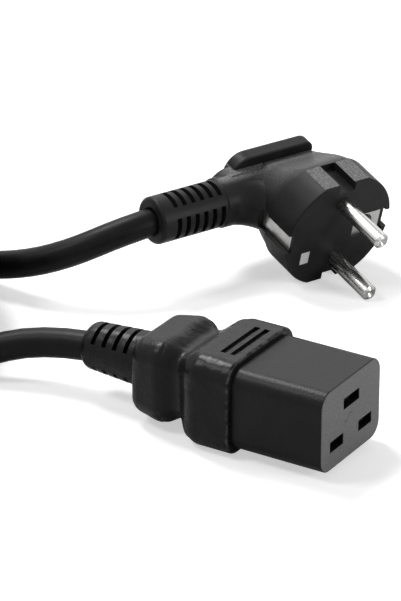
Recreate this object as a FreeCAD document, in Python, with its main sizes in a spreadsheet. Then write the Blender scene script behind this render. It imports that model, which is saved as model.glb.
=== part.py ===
"""Moulded power cord: a C19-pattern connector, its flexible cord and an angled earthed plug.

The connector points along +X with its wide side down and +Z up. The origin is under the middle of the
connector, on the surface that it lies on. The plug lies behind it, on one flank and on the tip of a pin.
"""
import FreeCAD, Part
import math
import os

import Sketcher
from FreeCAD import Placement, Rotation, Vector

doc = FreeCAD.newDocument("power_cord")

# ------------------------------------------------------------------ driving dimensions, mm and degrees
SIZES = {
    # connector: the hard insert that enters the inlet
    "nose_width": 31.0,
    "nose_height": 23.4,
    "nose_corner": 4.5,
    "nose_length": 27.5,
    "nose_edge": 0.5,
    "nose_seat": 2.5,
    "spigot_step": 3.0,
    "spigot_corner": 3.0,
    "spigot_length": 4.0,
    "face_wall": 2.4,
    "slot_height": 3.2,
    "live_slot_width": 7.0,
    "earth_slot_width": 8.3,
    "live_slot_offset": 7.45,
    "live_slot_drop": 4.85,
    "earth_slot_rise": 4.95,
    "chamber_height": 5.0,
    "chamber_margin": 0.6,
    "chamber_length": 18.0,
    "cut_over": 0.5,
    # connector: the folded contacts
    "contact_sheet": 0.6,
    "contact_gap": 1.8,
    "contact_mouth": 3.6,
    "contact_margin": 0.2,
    "contact_throat": 4.0,
    "contact_spring": 5.9,
    "contact_bend": 2.0,
    "contact_overlap": 0.3,
    "barrel_diameter": 3.8,
    # connector: the soft grip
    "collar_side_wall": 1.8,
    "collar_top_wall": 1.7,
    "collar_length": 13.0,
    "collar_edge": 0.9,
    "collar_bend": 6.0,
    "grip_corner": 5.6,
    "waist_width": 23.0,
    "waist_height": 18.4,
    "waist_run": 5.5,
    "waist_bend": 4.0,
    "bulb_width": 28.4,
    "bulb_height": 24.2,
    "bulb_run": 5.5,
    "bulb_bend": 6.0,
    "bulb_rear_width": 24.4,
    "bulb_rear_height": 21.6,
    "bulb_length": 10.5,
    "bulb_edge": 4.2,
    "pad_slot_length": 18.0,
    "pad_slot_width": 1.7,
    "pad_slot_pitch": 3.0,
    "pad_slot_depth": 0.8,
    "pad_slot_inset": 3.5,
    "relief_diameter": 15.8,
    "relief_end_diameter": 13.2,
    "relief_length": 20.0,
    "relief_root": 3.0,
    "relief_nose": 2.6,
    "relief_slot_width": 1.4,
    "relief_slot_pitch": 3.6,
    "relief_slot_inset": 4.6,
    "relief_slot_count": 4,
    "relief_slot_angle": 122.0,
    "relief_slot_floor": 10.6,
    # the flexible cord
    "cord_diameter": 8.4,
    "core_diameter": 2.9,
    "core_circle": 1.75,
    "core_lead": 4.2,
    "core_tail": 6.0,
    "pin_core_lead": 2.4,
    "cord_lift": 0.05,
    "sheath_cover": 16.8,
    "coil_diameter": 88.0,
    "coil_columns": 2,
    "coil_layers": 3,
    "coil_corner": 3.8,
    # plug: pins
    "pin_diameter": 4.8,
    "pin_length": 19.0,
    "pin_pitch": 19.0,
    "pin_chamfer": 0.7,
    "pin_dimple": 2.2,
    "pin_root": 0.6,
    "shank_diameter": 4.0,
    "shank_length": 17.0,
    # plug: body
    "plug_flat": 34.0,
    "plug_round": 37.4,
    "plug_head": 11.0,
    "plug_face_edge": 0.5,
    "shoulder_step": 0.5,
    "key_width": 5.5,
    "key_depth": 2.5,
    "groove_over": 3.0,
    "clip_groove_width": 6.4,
    "clip_groove_floor": 33.4,
    "clip_groove_length": 14.5,
    "back_depth": 30.0,
    "bar_width": 22.6,
    "bar_rear": 20.5,
    "bar_front": 9.0,
    "bar_top": 33.2,
    "bar_thickness": 5.0,
    "bar_edge": 1.6,
    "bar_lip": 0.5,
    "bar_front_corner": 3.0,
    "bar_rear_corner": 6.5,
    "neck_depth": 25.5,
    "neck_diameter": 15.0,
    "neck_flare": 0.8,
    "neck_root": 3.0,
    "neck_length": 27.0,
    "neck_step": 0.6,
    "elbow_bend": 7.5,
    "elbow_inset": 0.25,
    "elbow_turn": 90.0,
    "mound_width": 16.0,
    "mound_front": 8.0,
    "mound_over": 0.4,
    "mound_drop": 1.0,
    "mound_rise": 6.9,
    "mound_edge": 3.0,
    "plug_relief_diameter": 14.2,
    "plug_relief_length": 22.5,
    "plug_relief_edge": 1.2,
    "plug_slot_width": 1.5,
    "plug_slot_pitch": 3.1,
    "plug_slot_inset": 1.6,
    "plug_slot_count": 6,
    "plug_slot_angle": 62.0,
    "plug_slot_floor": 10.6,
    "plug_sheath_cover": 12.5,
    # plug: earth strip, sleeve and inner bridge
    "strip_thickness": 0.8,
    "strip_width": 6.0,
    "strip_bend": 1.2,
    "strip_back": 15.0,
    "plate_width": 8.0,
    "plate_recess": 1.0,
    "plate_corner": 0.8,
    "plate_start": 5.2,
    "earth_hole_offset": 10.0,
    "earth_hole_diameter": 5.6,
    "sleeve_bore": 4.9,
    "sleeve_wall": 0.6,
    "sleeve_length": 11.5,
    "bridge_wall": 2.0,
    "bridge_length": 9.6,
    "bridge_front": 5.0,
    "bridge_arm": 3.8,
    "post_width": 4.2,
    "post_length": 3.0,
    "post_offset": 6.7,
    "post_position": 10.9,
    # where the plug lies
    "plug_heading": -23.0,
    "plug_place_x": -18.0,
    "plug_place_y": 96.0,
    # where the coil lies
    "coil_place_x": -131.0,
    "coil_place_y": -7.0,
}

sheet = doc.addObject("Spreadsheet::Sheet", "Sizes")
for row, (name, number) in enumerate(SIZES.items(), start=1):
    sheet.set(f"A{row}", name)
    sheet.set(f"B{row}", str(number))
    sheet.setAlias(f"B{row}", name)
doc.recompute()


def size(name):
    """The number that the sheet holds under a name."""
    return float(sheet.get(name))


def worth(expression):
    """The number that an expression on the sheet comes to."""
    return float(sheet.evalExpression(expression))


# ------------------------------------------------------------------ measures worked out from the sizes
COLLAR_WIDTH = "(Sizes.nose_width + 2 * Sizes.collar_side_wall)"
COLLAR_HEIGHT = "(Sizes.nose_height + 2 * Sizes.collar_top_wall)"
INSERT_END = "(Sizes.nose_length + Sizes.nose_seat + Sizes.spigot_length)"
CHAMBER_END = "(Sizes.face_wall + Sizes.chamber_length)"
COLLAR_END = "(Sizes.nose_length + Sizes.collar_length)"
WAIST = f"({COLLAR_END} + Sizes.waist_run)"
BULB = f"({WAIST} + Sizes.bulb_run)"
BULB_END = f"({BULB} + Sizes.bulb_length)"
RELIEF_END = f"({BULB_END} + Sizes.relief_length)"
NECK_END = "(Sizes.neck_length + Sizes.plug_relief_length)"
LINED_SHEATH = f"({NECK_END} - Sizes.plug_sheath_cover)"


# ------------------------------------------------------------------ sketch and feature helpers
def new_body(name):
    return doc.addObject("PartDesign::Body", name)


def sketch_on(body, name, plane="XY_Plane", along_x=None, along_y=None, above=None):
    """A sketch on one of the body's origin planes, shifted by expressions on the sheet."""
    sketch = body.newObject("Sketcher::SketchObject", name)
    plane_object = next(f for f in body.Origin.OriginFeatures if f.Role == plane)
    sketch.AttachmentSupport = [(plane_object, "")]
    sketch.MapMode = "FlatFace"
    for axis, expression in (("x", along_x), ("y", along_y), ("z", above)):
        if expression:
            sketch.setExpression(f".AttachmentOffset.Base.{axis}", expression)
    return sketch


def bind(sketch, kind, arguments, expression, start):
    """One driving constraint whose value follows an expression on the sheet."""
    index = sketch.addConstraint(Sketcher.Constraint(kind, *arguments, start))
    sketch.setExpression(f"Constraints[{index}]", expression)


def draw_rectangle(sketch, width, height, corner=None):
    """A rectangle centred on the sketch's origin; width and height are expressions, corner is a name."""
    half_w = worth(width) / 2
    half_h = worth(height) / 2
    r = size(corner) if corner else 0.0
    corners = [(half_w, half_h), (-half_w, half_h), (-half_w, -half_h), (half_w, -half_h)]
    steps = [(-1, 0), (0, -1), (1, 0), (0, 1)]
    for (x, y), (dx, dy), (nx, ny) in zip(corners, steps, corners[1:] + corners[:1]):
        sketch.addGeometry(Part.LineSegment(
            Vector(x + dx * r, y + dy * r, 0), Vector(nx - dx * r, ny - dy * r, 0)), False)
    if corner:
        for number, (x, y) in enumerate(corners[1:] + corners[:1]):
            centre = Vector(x - math.copysign(r, x), y - math.copysign(r, y), 0)
            start = math.pi / 2 * ((number + 1) % 4)
            circle = Part.Circle(centre, Vector(0, 0, 1), r)
            sketch.addGeometry(Part.ArcOfCircle(circle, start, start + math.pi / 2), False)
        for line in range(4):
            sketch.addConstraint(Sketcher.Constraint("Tangent", line, 2, 4 + line, 1))
            sketch.addConstraint(Sketcher.Constraint("Tangent", 4 + line, 2, (line + 1) % 4, 1))
            if line:
                sketch.addConstraint(Sketcher.Constraint("Equal", 4, 4 + line))
        bind(sketch, "Radius", (4,), f"Sizes.{corner}", r)
    else:
        for line in range(4):
            sketch.addConstraint(Sketcher.Constraint("Coincident", line, 2, (line + 1) % 4, 1))
    for line in (0, 2):
        sketch.addConstraint(Sketcher.Constraint("Horizontal", line))
    for line in (1, 3):
        sketch.addConstraint(Sketcher.Constraint("Vertical", line))
    sketch.addConstraint(Sketcher.Constraint("Symmetric", 0, 1, 2, 1, -1, 1))
    bind(sketch, "DistanceY", (2, 1, 0, 1), height, 2 * half_h)
    bind(sketch, "DistanceX", (1, 1, 3, 1), width, 2 * half_w)


def draw_circle(sketch, diameter):
    """A circle on the sketch's origin; the diameter is a name or an expression made of names."""
    sketch.addGeometry(Part.Circle(Vector(0, 0, 0), Vector(0, 0, 1), 2.0), False)
    sketch.addConstraint(Sketcher.Constraint("Coincident", 0, 3, -1, 1))
    bind(sketch, "Diameter", (0,), diameter, 4.0)


def outline(corners):
    """Lines and tangent arcs round a closed outline; each corner is (x, y, radius)."""
    count = len(corners)
    cuts = []
    for i, (x, y, r) in enumerate(corners):
        here = Vector(x, y, 0)
        back = (Vector(*corners[i - 1][:2], 0) - here).normalize()
        on = (Vector(*corners[(i + 1) % count][:2], 0) - here).normalize()
        half = back.getAngle(on) / 2
        reach = r / math.tan(half)
        middle = here + (back + on).normalize() * (r / math.sin(half) - r) if r else here
        cuts.append((here + back * reach, middle, here + on * reach, r))
    shapes = []
    for i, (first, middle, last, r) in enumerate(cuts):
        if r:
            shapes.append(Part.Arc(first, middle, last))
        following = cuts[(i + 1) % count][0]
        if (following - last).Length > 1e-6:
            shapes.append(Part.LineSegment(last, following))
    return shapes


def draw_fixed(sketch, shapes):
    """Adds shapes that were worked out from the sheet, and holds them where they are."""
    for shape in shapes:
        index = sketch.addGeometry(shape, False)
        sketch.addConstraint(Sketcher.Constraint("Block", index))


def pad(body, sketch, length, reverse=False, both=False):
    feature = body.newObject("PartDesign::Pad", f"Pad_{sketch.Name}")
    feature.Profile = sketch
    feature.setExpression("Length", length)
    feature.Reversed = reverse
    feature.Midplane = both
    return feature


def pocket(body, sketch, length, reverse=False, both=False):
    feature = body.newObject("PartDesign::Pocket", f"Pocket_{sketch.Name}")
    feature.Profile = sketch
    feature.setExpression("Length", length)
    feature.Reversed = reverse
    feature.Midplane = both
    return feature


def turn(body, sketch, kind, axis="V_Axis", angle=None):
    """A revolution or a groove about one of the sketch's own axes."""
    feature = body.newObject(f"PartDesign::{kind}", f"{kind}_{sketch.Name}")
    feature.Profile = sketch
    feature.ReferenceAxis = (sketch, [axis])
    feature.Angle = 360.0
    if angle:
        feature.Midplane = True
        feature.setExpression("Angle", angle)
    return feature


def round_edges(body, feature, radius, wanted):
    """Fillets the edges of a feature for which wanted(edge) is true."""
    doc.recompute()
    names = [f"Edge{i}" for i, e in enumerate(feature.Shape.Edges, start=1) if wanted(e)]
    fillet = body.newObject("PartDesign::Fillet", f"Fillet_{feature.Name}")
    fillet.Base = (feature, names)
    fillet.setExpression("Radius", radius)
    return fillet


def in_plane(edge, height):
    """True for an edge that lies in the plane z = height of its body."""
    box = edge.BoundBox
    return abs(box.ZMin - height) < 1e-4 and abs(box.ZMax - height) < 1e-4


def place(item, placement):
    item.Placement = placement
    return item


# ------------------------------------------------------------------ frames of the two ends
CONNECTOR_FRAME = Placement(
    Vector(worth(RELIEF_END) / 2, 0, worth(COLLAR_HEIGHT) / 2),
    Rotation(Vector(0, 1, 0), Vector(0, 0, 1), Vector(1, 0, 0), "ZXY"))


def plug_frame():
    """The plug rests on the front edge of one flank and on the tip of the pin next to it."""
    flank = size("plug_flat") / 2
    pin_side = (size("pin_pitch") + size("pin_diameter")) / 2
    pin_reach = size("pin_length") - size("pin_chamfer")
    tilt = math.atan2(flank - pin_side, pin_reach)
    heading = math.radians(size("plug_heading"))
    across = Vector(-math.sin(heading), math.cos(heading), 0)
    forward = Vector(math.cos(heading), math.sin(heading), 0) * math.cos(tilt)
    forward.z = -math.sin(tilt)
    down = across.cross(forward)
    height = flank * math.cos(tilt)
    base = Vector(size("plug_place_x"), size("plug_place_y"), height)
    return Placement(base, Rotation(down, across, forward, "ZXY"))


PLUG_FRAME = plug_frame()

# the three poles: where the slot of each lies, across and up from the axis, and how wide it is
POLES = {
    "line": ("Sizes.live_slot_offset", "-Sizes.live_slot_drop", "Sizes.live_slot_width"),
    "neutral": ("-Sizes.live_slot_offset", "-Sizes.live_slot_drop", "Sizes.live_slot_width"),
    "earth": ("0", "Sizes.earth_slot_rise", "Sizes.earth_slot_width"),
}


def pole_place(pole):
    """The middle of a pole's slot in the connector's face."""
    across, up, _ = POLES[pole]
    return Vector(worth(across), worth(up), 0)


# ------------------------------------------------------------------ connector insert
def connector_nose():
    """Hard insert: the rounded block that enters the inlet, its three slots and the contact chambers."""
    body = new_body("nose_body")
    block = sketch_on(body, "nose_outline")
    draw_rectangle(block, "Sizes.nose_width", "Sizes.nose_height", "nose_corner")
    front = pad(body, block, "Sizes.nose_length + Sizes.nose_seat", reverse=True)
    round_edges(body, front, "Sizes.nose_edge", lambda e: in_plane(e, 0))
    spigot = sketch_on(body, "spigot_outline", above="-Sizes.nose_length - Sizes.nose_seat")
    draw_rectangle(spigot, "Sizes.nose_width - 2 * Sizes.spigot_step",
                   "Sizes.nose_height - 2 * Sizes.spigot_step", "spigot_corner")
    pad(body, spigot, "Sizes.spigot_length", reverse=True)
    for pole, (across, up, width) in POLES.items():
        slot = sketch_on(body, f"{pole}_slot", along_x=across, along_y=up)
        draw_rectangle(slot, width, "Sizes.slot_height")
        pocket(body, slot, "Sizes.face_wall + Sizes.cut_over")
        chamber = sketch_on(body, f"{pole}_chamber", along_x=across, along_y=up, above="-Sizes.face_wall")
        draw_rectangle(chamber, f"{width} + 2 * Sizes.chamber_margin", "Sizes.chamber_height")
        pocket(body, chamber, "Sizes.chamber_length")
        hole = sketch_on(body, f"{pole}_hole", along_x=across, along_y=up, above="-Sizes.face_wall")
        draw_circle(hole, "Sizes.barrel_diameter")
        pocket(body, hole, INSERT_END)
    return place(body, CONNECTOR_FRAME)


def contact(pole):
    """Folded contact: two leaves that grip a blade, a back wall and the crimped barrel behind it."""
    width = POLES[pole][2]
    body = new_body(f"{pole}_contact_body")
    mouth = -size("face_wall") - size("contact_margin")
    back = -worth(CHAMBER_END)
    sheet_t = size("contact_sheet")
    tall = size("chamber_height") / 2
    grip = size("contact_gap") / 2
    lip = size("contact_mouth") / 2
    throat = mouth - size("contact_throat")
    bend = throat - size("contact_spring")
    soft = size("contact_bend")
    leaf = [(lip + sheet_t, mouth, 0), (grip + sheet_t, throat, soft), (tall, bend, soft),
            (tall, back, sheet_t / 2)]
    soft += sheet_t
    inner = [(tall - sheet_t, back + sheet_t, 0), (tall - sheet_t, bend, soft), (grip, throat, soft),
             (lip, mouth, 0)]
    corners = leaf + [(-x, y, r) for x, y, r in reversed(leaf)]
    corners += [(-x, y, r) for x, y, r in reversed(inner)] + inner
    profile = sketch_on(body, f"{pole}_leaves", "YZ_Plane")
    draw_fixed(profile, outline(corners))
    pad(body, profile, f"{width} + 2 * Sizes.chamber_margin - 2 * Sizes.contact_margin", both=True)
    barrel = sketch_on(body, f"{pole}_barrel", above=f"Sizes.contact_overlap - {CHAMBER_END}")
    draw_circle(barrel, "Sizes.barrel_diameter")
    pad(body, barrel, f"{INSERT_END} - {CHAMBER_END} + Sizes.contact_overlap", reverse=True)
    return place(body, CONNECTOR_FRAME.multiply(Placement(pole_place(pole), Rotation())))


# ------------------------------------------------------------------ tubes along runs and tangent arcs
def rounded_path(points, report=None):
    """Straight runs joined by tangent arcs, each as large as its two runs allow."""
    edges = []
    radii = []
    start = points[0]
    for before, here, after in zip(points, points[1:], points[2:]):
        back = (before - here).normalize()
        on = (after - here).normalize()
        half_turn = (math.pi - back.getAngle(on)) / 2
        reach = 0.45 * min((before - here).Length, (after - here).Length)
        radius = reach / math.tan(half_turn)
        radii.append(radius)
        first = here + back * reach
        last = here + on * reach
        centre = here + (back + on).normalize() * (radius / math.cos(half_turn))
        middle = centre + (here - centre).normalize() * radius
        edges.append(Part.LineSegment(start, first).toShape())
        edges.append(Part.Arc(first, middle, last).toShape())
        start = last
    edges.append(Part.LineSegment(start, points[-1]).toShape())
    wire = Part.Wire(edges)
    if report:
        print(report, "length", round(wire.Length, 1), "radii", [round(r, 1) for r in radii])
    return wire


def tube(points, diameter, report=None):
    """A round solid along a rounded path, with its volume compared to section times length."""
    wire = rounded_path(points, report)
    ring = Part.Wire(Part.makeCircle(diameter / 2, points[0], points[1] - points[0]))
    solid = wire.makePipeShell([ring], True, False)
    if report:
        expected = math.pi * diameter ** 2 / 4 * wire.Length
        print(report, "volume", round(solid.Volume / expected, 5), "of section times length")
    return solid


def core_place(pole, radius):
    """Where a core lies in the cord, looking at the cord's end: live cores below, earth above."""
    turns = {"line": -30.0, "neutral": 210.0, "earth": 90.0}
    angle = math.radians(turns[pole])
    return Vector(radius * math.cos(angle), radius * math.sin(angle), 0)


def connector_core(pole):
    """Insulated core from a contact's barrel to the end of the cord's sheath."""
    rear = -worth(INSERT_END)
    end = size("sheath_cover") - worth(RELIEF_END)
    start = pole_place(pole)
    finish = core_place(pole, size("core_circle"))
    points = [start + Vector(0, 0, rear), start + Vector(0, 0, rear - size("core_lead")),
              finish + Vector(0, 0, end + size("core_tail")), finish + Vector(0, 0, end)]
    item = doc.addObject("Part::Feature", f"connector_{pole}_core_shape")
    item.Shape = tube(points, size("core_diameter"))
    return place(item, CONNECTOR_FRAME)


# ------------------------------------------------------------------ connector grip
def grip_profile(half, rear_half, waist_half, bulb_half):
    """One view of the grip: collar, finger waist and bulb, as half sizes either side of the axis."""
    side = [(half, -size("nose_length"), 0), (half, -worth(COLLAR_END), size("collar_bend")),
            (waist_half, -worth(WAIST), size("waist_bend")),
            (bulb_half, -worth(BULB), size("bulb_bend")), (rear_half, -worth(BULB_END), 0)]
    return side + [(-x, y, r) for x, y, r in reversed(side)]


def connector_grip_body():
    """Soft moulding: collar, waist, bulb and the slotted strain relief in one piece."""
    body = new_body("grip_body")
    side = sketch_on(body, "grip_side", "YZ_Plane")
    draw_fixed(side, outline(grip_profile(
        worth(COLLAR_HEIGHT) / 2, size("bulb_rear_height") / 2,
        size("waist_height") / 2, size("bulb_height") / 2)))
    pad(body, side, COLLAR_WIDTH, both=True)
    plan = sketch_on(body, "grip_plan", "XZ_Plane")
    reach = worth(COLLAR_WIDTH)
    front = size("cut_over") - size("nose_length")
    rear = -size("cut_over") - worth(BULB_END)
    draw_fixed(plan, outline([(reach, front, 0), (-reach, front, 0), (-reach, rear, 0), (reach, rear, 0)]))
    draw_fixed(plan, outline(grip_profile(
        worth(COLLAR_WIDTH) / 2, size("bulb_rear_width") / 2,
        size("waist_width") / 2, size("bulb_width") / 2)))
    shaped = pocket(body, plan, f"2 * {COLLAR_HEIGHT}", both=True)
    long_edges = round_edges(body, shaped, "Sizes.grip_corner", lambda e: e.BoundBox.ZLength > 0.05)
    front_edge = round_edges(
        body, long_edges, "Sizes.collar_edge", lambda e: in_plane(e, -size("nose_length")))
    round_edges(body, front_edge, "Sizes.bulb_edge", lambda e: in_plane(e, -worth(BULB_END)))
    for number in range(2):
        position = f"-Sizes.nose_length - Sizes.pad_slot_inset - {number} * Sizes.pad_slot_pitch"
        slot = sketch_on(body, f"pad_slot_{number}", "XZ_Plane", along_y=position,
                         above=f"-{COLLAR_HEIGHT} / 2")
        draw_rectangle(slot, "Sizes.pad_slot_length", "Sizes.pad_slot_width")
        pocket(body, slot, "Sizes.pad_slot_depth", reverse=True)
    relief = sketch_on(body, "relief_profile", "XZ_Plane")
    radius = size("relief_diameter") / 2
    bulb_z = -worth(BULB_END)
    start_z = bulb_z + size("relief_root")
    end_z = -worth(RELIEF_END)
    draw_fixed(relief, outline([
        (0, start_z, 0), (radius, start_z, 0), (radius, bulb_z, 0),
        (size("relief_end_diameter") / 2, end_z, size("relief_nose")), (0, end_z, 0)]))
    turn(body, relief, "Revolution")
    slots = sketch_on(body, "relief_slots", "YZ_Plane")
    for number in range(int(size("relief_slot_count"))):
        middle = bulb_z - size("relief_slot_inset") - number * size("relief_slot_pitch")
        half = size("relief_slot_width") / 2
        floor = size("relief_slot_floor") / 2
        rim = size("relief_diameter")
        draw_fixed(slots, outline([(floor, middle - half, 0), (rim, middle - half, 0),
                                   (rim, middle + half, 0), (floor, middle + half, 0)]))
    upper = turn(body, slots, "Groove", angle="Sizes.relief_slot_angle")
    lower = body.newObject("PartDesign::Mirrored", "lower_slots")
    lower.Originals = [upper]
    lower.MirrorPlane = (next(f for f in body.Origin.OriginFeatures if f.Role == "XZ_Plane"), [""])
    body.Tip = lower
    return place(body, CONNECTOR_FRAME)


def moulded_round(name, body, inserts):
    """The moulding with the room that its inserts take up."""
    tools = doc.addObject("Part::Compound", f"{name}_inserts")
    tools.Links = inserts
    cut = doc.addObject("Part::Cut", name)
    cut.Base = body
    cut.Tool = tools
    return cut


# ------------------------------------------------------------------ plug body
# sections of the shoulders behind the head: share of the way to the back, share of the flank's half
# width, how far the front and rear ends draw in, and the depth of the arcs that close the ends
SHOULDERS = [
    (0.32, 0.80, 0.9, 1.5, 8.6),
    (0.63, 0.60, 2.6, 3.2, 6.6),
    (1.00, 0.48, 7.2, 4.2, 5.6),
]


def flat_sided(half_width, front, rear, bulge):
    """A section of the plug: two straight flanks joined by arcs at its front (+Y) and rear (-Y) ends."""
    a, b = front - bulge, -rear + bulge
    right = [Vector(half_width, b, 0), Vector(half_width, a, 0)]
    left = [Vector(-half_width, a, 0), Vector(-half_width, b, 0)]
    return [Part.LineSegment(right[0], right[1]), Part.Arc(right[1], Vector(0, front, 0), left[0]),
            Part.LineSegment(left[0], left[1]), Part.Arc(left[1], Vector(0, -rear, 0), right[0])]


def plug_body_solid():
    """Soft moulding of the plug: head, sloping shoulders, back bar, neck and slotted strain relief."""
    body = new_body("plug_moulding")
    flank = size("plug_flat") / 2
    round_end = size("plug_round") / 2
    bulge = round_end - math.sqrt(round_end ** 2 - flank ** 2)
    face = sketch_on(body, "plug_face")
    draw_fixed(face, flat_sided(flank, round_end, round_end, bulge))
    head = pad(body, face, "Sizes.plug_head", reverse=True)
    round_edges(body, head, "Sizes.plug_face_edge", lambda e: in_plane(e, 0))
    step = size("shoulder_step")
    first = sketch_on(body, "shoulder_start", above="-Sizes.plug_head")
    draw_fixed(first, flat_sided(flank - step, round_end - step, round_end - step, bulge))
    sketches = [first]
    for number, (way, slimness, front_step, rear_step, arc) in enumerate(SHOULDERS):
        sketch = sketch_on(body, f"shoulder_{number}",
                           above=f"-Sizes.plug_head - {way} * (Sizes.back_depth - Sizes.plug_head)")
        draw_fixed(sketch, flat_sided(slimness * flank, round_end - front_step, round_end - rear_step, arc))
        sketches.append(sketch)
    loft = body.newObject("PartDesign::AdditiveLoft", "shoulders")
    loft.Profile = sketches[0]
    loft.Sections = sketches[1:]
    neck_profile(body)
    elbow(body)
    grooves(body)
    moulding = doc.addObject("Part::MultiFuse", "plug_moulding_whole")
    moulding.Shapes = [place(body, PLUG_FRAME), mound(), back_bar()]
    return moulding


def neck_profile(body):
    """Neck and strain relief, turned about an axis that runs along -Y behind the head."""
    axis = "-Sizes.neck_depth"
    root = -size("neck_root")
    start = -size("neck_length")
    end = -worth(NECK_END)
    thick = size("neck_diameter") / 2
    radius = size("plug_relief_diameter") / 2
    neck = sketch_on(body, "neck_turned", "YZ_Plane", along_y=axis)
    draw_fixed(neck, outline([
        (root, 0, 0), (root, thick + size("neck_flare") / 2, 0), (start + size("neck_step"), thick, 0),
        (start, radius, 0), (end, radius, size("plug_relief_edge")), (end, 0, 0)]))
    turn(body, neck, "Revolution", axis="H_Axis")
    slots = sketch_on(body, "neck_slots", "YZ_Plane", along_y=axis)
    for number in range(int(size("plug_slot_count"))):
        middle = start - size("plug_slot_inset") - number * size("plug_slot_pitch")
        half = size("plug_slot_width") / 2
        floor = size("plug_slot_floor") / 2
        draw_fixed(slots, outline([(middle - half, floor, 0), (middle - half, 2 * radius, 0),
                                   (middle + half, 2 * radius, 0), (middle + half, floor, 0)]))
    cut = turn(body, slots, "Groove", axis="H_Axis", angle="Sizes.plug_slot_angle")
    ring = body.newObject("PartDesign::PolarPattern", "slot_rows")
    ring.Originals = [cut]
    ring.Axis = (slots, ["H_Axis"])
    ring.Angle = 360.0
    ring.Occurrences = 4
    body.Tip = ring


def elbow(body):
    """Quarter bend that rounds the inner corner between the head's rear wall and the neck."""
    bend = size("elbow_bend")
    thick = size("neck_diameter") / 2
    ring = sketch_on(body, "elbow_ring", "XZ_Plane",
                     along_y="Sizes.elbow_bend + Sizes.neck_diameter / 2 - Sizes.neck_depth",
                     above="Sizes.plug_round / 2 - Sizes.shoulder_step + Sizes.elbow_bend")
    middle = Vector(0, -bend - thick, 0)
    draw_fixed(ring, [Part.Circle(middle, Vector(0, 0, 1), thick - size("elbow_inset"))])
    quarter = turn(body, ring, "Revolution", axis="H_Axis", angle="Sizes.elbow_turn")
    quarter.Midplane = False


def mound():
    """Squarer back of the neck, which carries the finger bar and ends in a half round at the relief."""
    body = new_body("mound_body")
    block = sketch_on(body, "mound_outline", above="-Sizes.neck_depth - Sizes.mound_drop")
    half = size("mound_width") / 2
    end = size("mound_over") + size("neck_length")
    centre = half - end
    tail = Part.Arc(Vector(-half, centre, 0), Vector(0, -end, 0), Vector(half, centre, 0))
    front = size("mound_front")
    sides = [Part.LineSegment(Vector(half, centre, 0), Vector(half, front, 0)),
             Part.LineSegment(Vector(half, front, 0), Vector(-half, front, 0)),
             Part.LineSegment(Vector(-half, front, 0), Vector(-half, centre, 0))]
    draw_fixed(block, [tail] + sides)
    raised = pad(body, block, "Sizes.mound_rise - Sizes.mound_drop", reverse=True)
    top = -size("neck_depth") - size("mound_rise")
    round_edges(body, raised, "Sizes.mound_edge", lambda e: in_plane(e, top))
    return place(body, PLUG_FRAME)


def back_bar():
    """Finger bar across the back, wider than the body under it."""
    body = new_body("bar_body")
    bar = sketch_on(body, "bar_outline", above="-Sizes.bar_top")
    half = size("bar_width") / 2
    front = size("bar_front")
    rear = -size("bar_rear")
    front_corner = size("bar_front_corner")
    rear_corner = size("bar_rear_corner")
    draw_fixed(bar, outline([(half, rear, rear_corner), (half, front, front_corner),
                             (-half, front, front_corner), (-half, rear, rear_corner)]))
    slab = pad(body, bar, "Sizes.bar_thickness")
    back = round_edges(body, slab, "Sizes.bar_edge", lambda e: in_plane(e, -size("bar_top")))
    under = size("bar_thickness") - size("bar_top")
    round_edges(body, back, "Sizes.bar_lip", lambda e: in_plane(e, under))
    return place(body, PLUG_FRAME)


def grooves(body):
    """Guide channels on the flanks, earth clip grooves at the ends and the recess of the earth plate."""
    flank = size("plug_flat") / 2
    round_end = size("plug_round") / 2
    over = size("groove_over")
    for side, name in ((1, "lower"), (-1, "upper")):
        key = sketch_on(body, f"{name}_key")
        low, high = sorted((side * (flank - size("key_depth")), side * (flank + over)))
        half = size("key_width") / 2
        draw_fixed(key, outline([(low, -half, 0), (high, -half, 0), (high, half, 0), (low, half, 0)]))
        pocket(body, key, "Sizes.plug_head + Sizes.shoulder_step")
    half = size("clip_groove_width") / 2
    floor = size("clip_groove_floor") / 2
    for side, name in ((1, "front"), (-1, "rear")):
        clip = sketch_on(body, f"{name}_clip_groove")
        low, high = sorted((side * floor, side * (round_end + over)))
        draw_fixed(clip, outline([(-half, low, 0), (half, low, 0), (half, high, 0), (-half, high, 0)]))
        pocket(body, clip, "Sizes.clip_groove_length")
    recess = sketch_on(body, "plate_recess_outline")
    half = size("plate_width") / 2
    start = size("plate_start")
    draw_fixed(recess, outline([(-half, start, 0), (half, start, 0), (half, floor, 0), (-half, floor, 0)]))
    pocket(body, recess, "Sizes.plate_recess")
    bore = sketch_on(body, "earth_bore", along_y="Sizes.earth_hole_offset")
    draw_circle(bore, "Sizes.sleeve_bore")
    pocket(body, bore, "Sizes.plate_recess + Sizes.strip_thickness + Sizes.sleeve_length - Sizes.sleeve_wall")
    mouth = sketch_on(body, "earth_mouth", along_y="Sizes.earth_hole_offset")
    draw_circle(mouth, "Sizes.earth_hole_diameter")
    pocket(body, mouth, "Sizes.plate_recess + Sizes.strip_thickness")


# ------------------------------------------------------------------ plug inserts
def pin(name, side):
    """Turned pin: chamfered tip with a centre dimple, and a thinner shank that starts just off the face."""
    body = new_body(f"{name}_body")
    profile = sketch_on(body, f"{name}_profile", "XZ_Plane")
    radius = size("pin_diameter") / 2
    tip = size("pin_length")
    chamfer = size("pin_chamfer")
    dimple = size("pin_dimple") / 2
    shank = size("shank_diameter") / 2
    root = size("pin_root")
    draw_fixed(profile, outline([
        (0, -size("shank_length"), 0), (shank, -size("shank_length"), 0), (shank, root, 0),
        (radius, root + radius - shank, 0), (radius, tip - chamfer, 0), (radius - chamfer, tip, 0),
        (dimple, tip, 0), (0, tip - dimple, 0)]))
    turn(body, profile, "Revolution")
    offset = Vector(side * size("pin_pitch") / 2, 0, 0)
    return place(body, PLUG_FRAME.multiply(Placement(offset, Rotation())))


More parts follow.
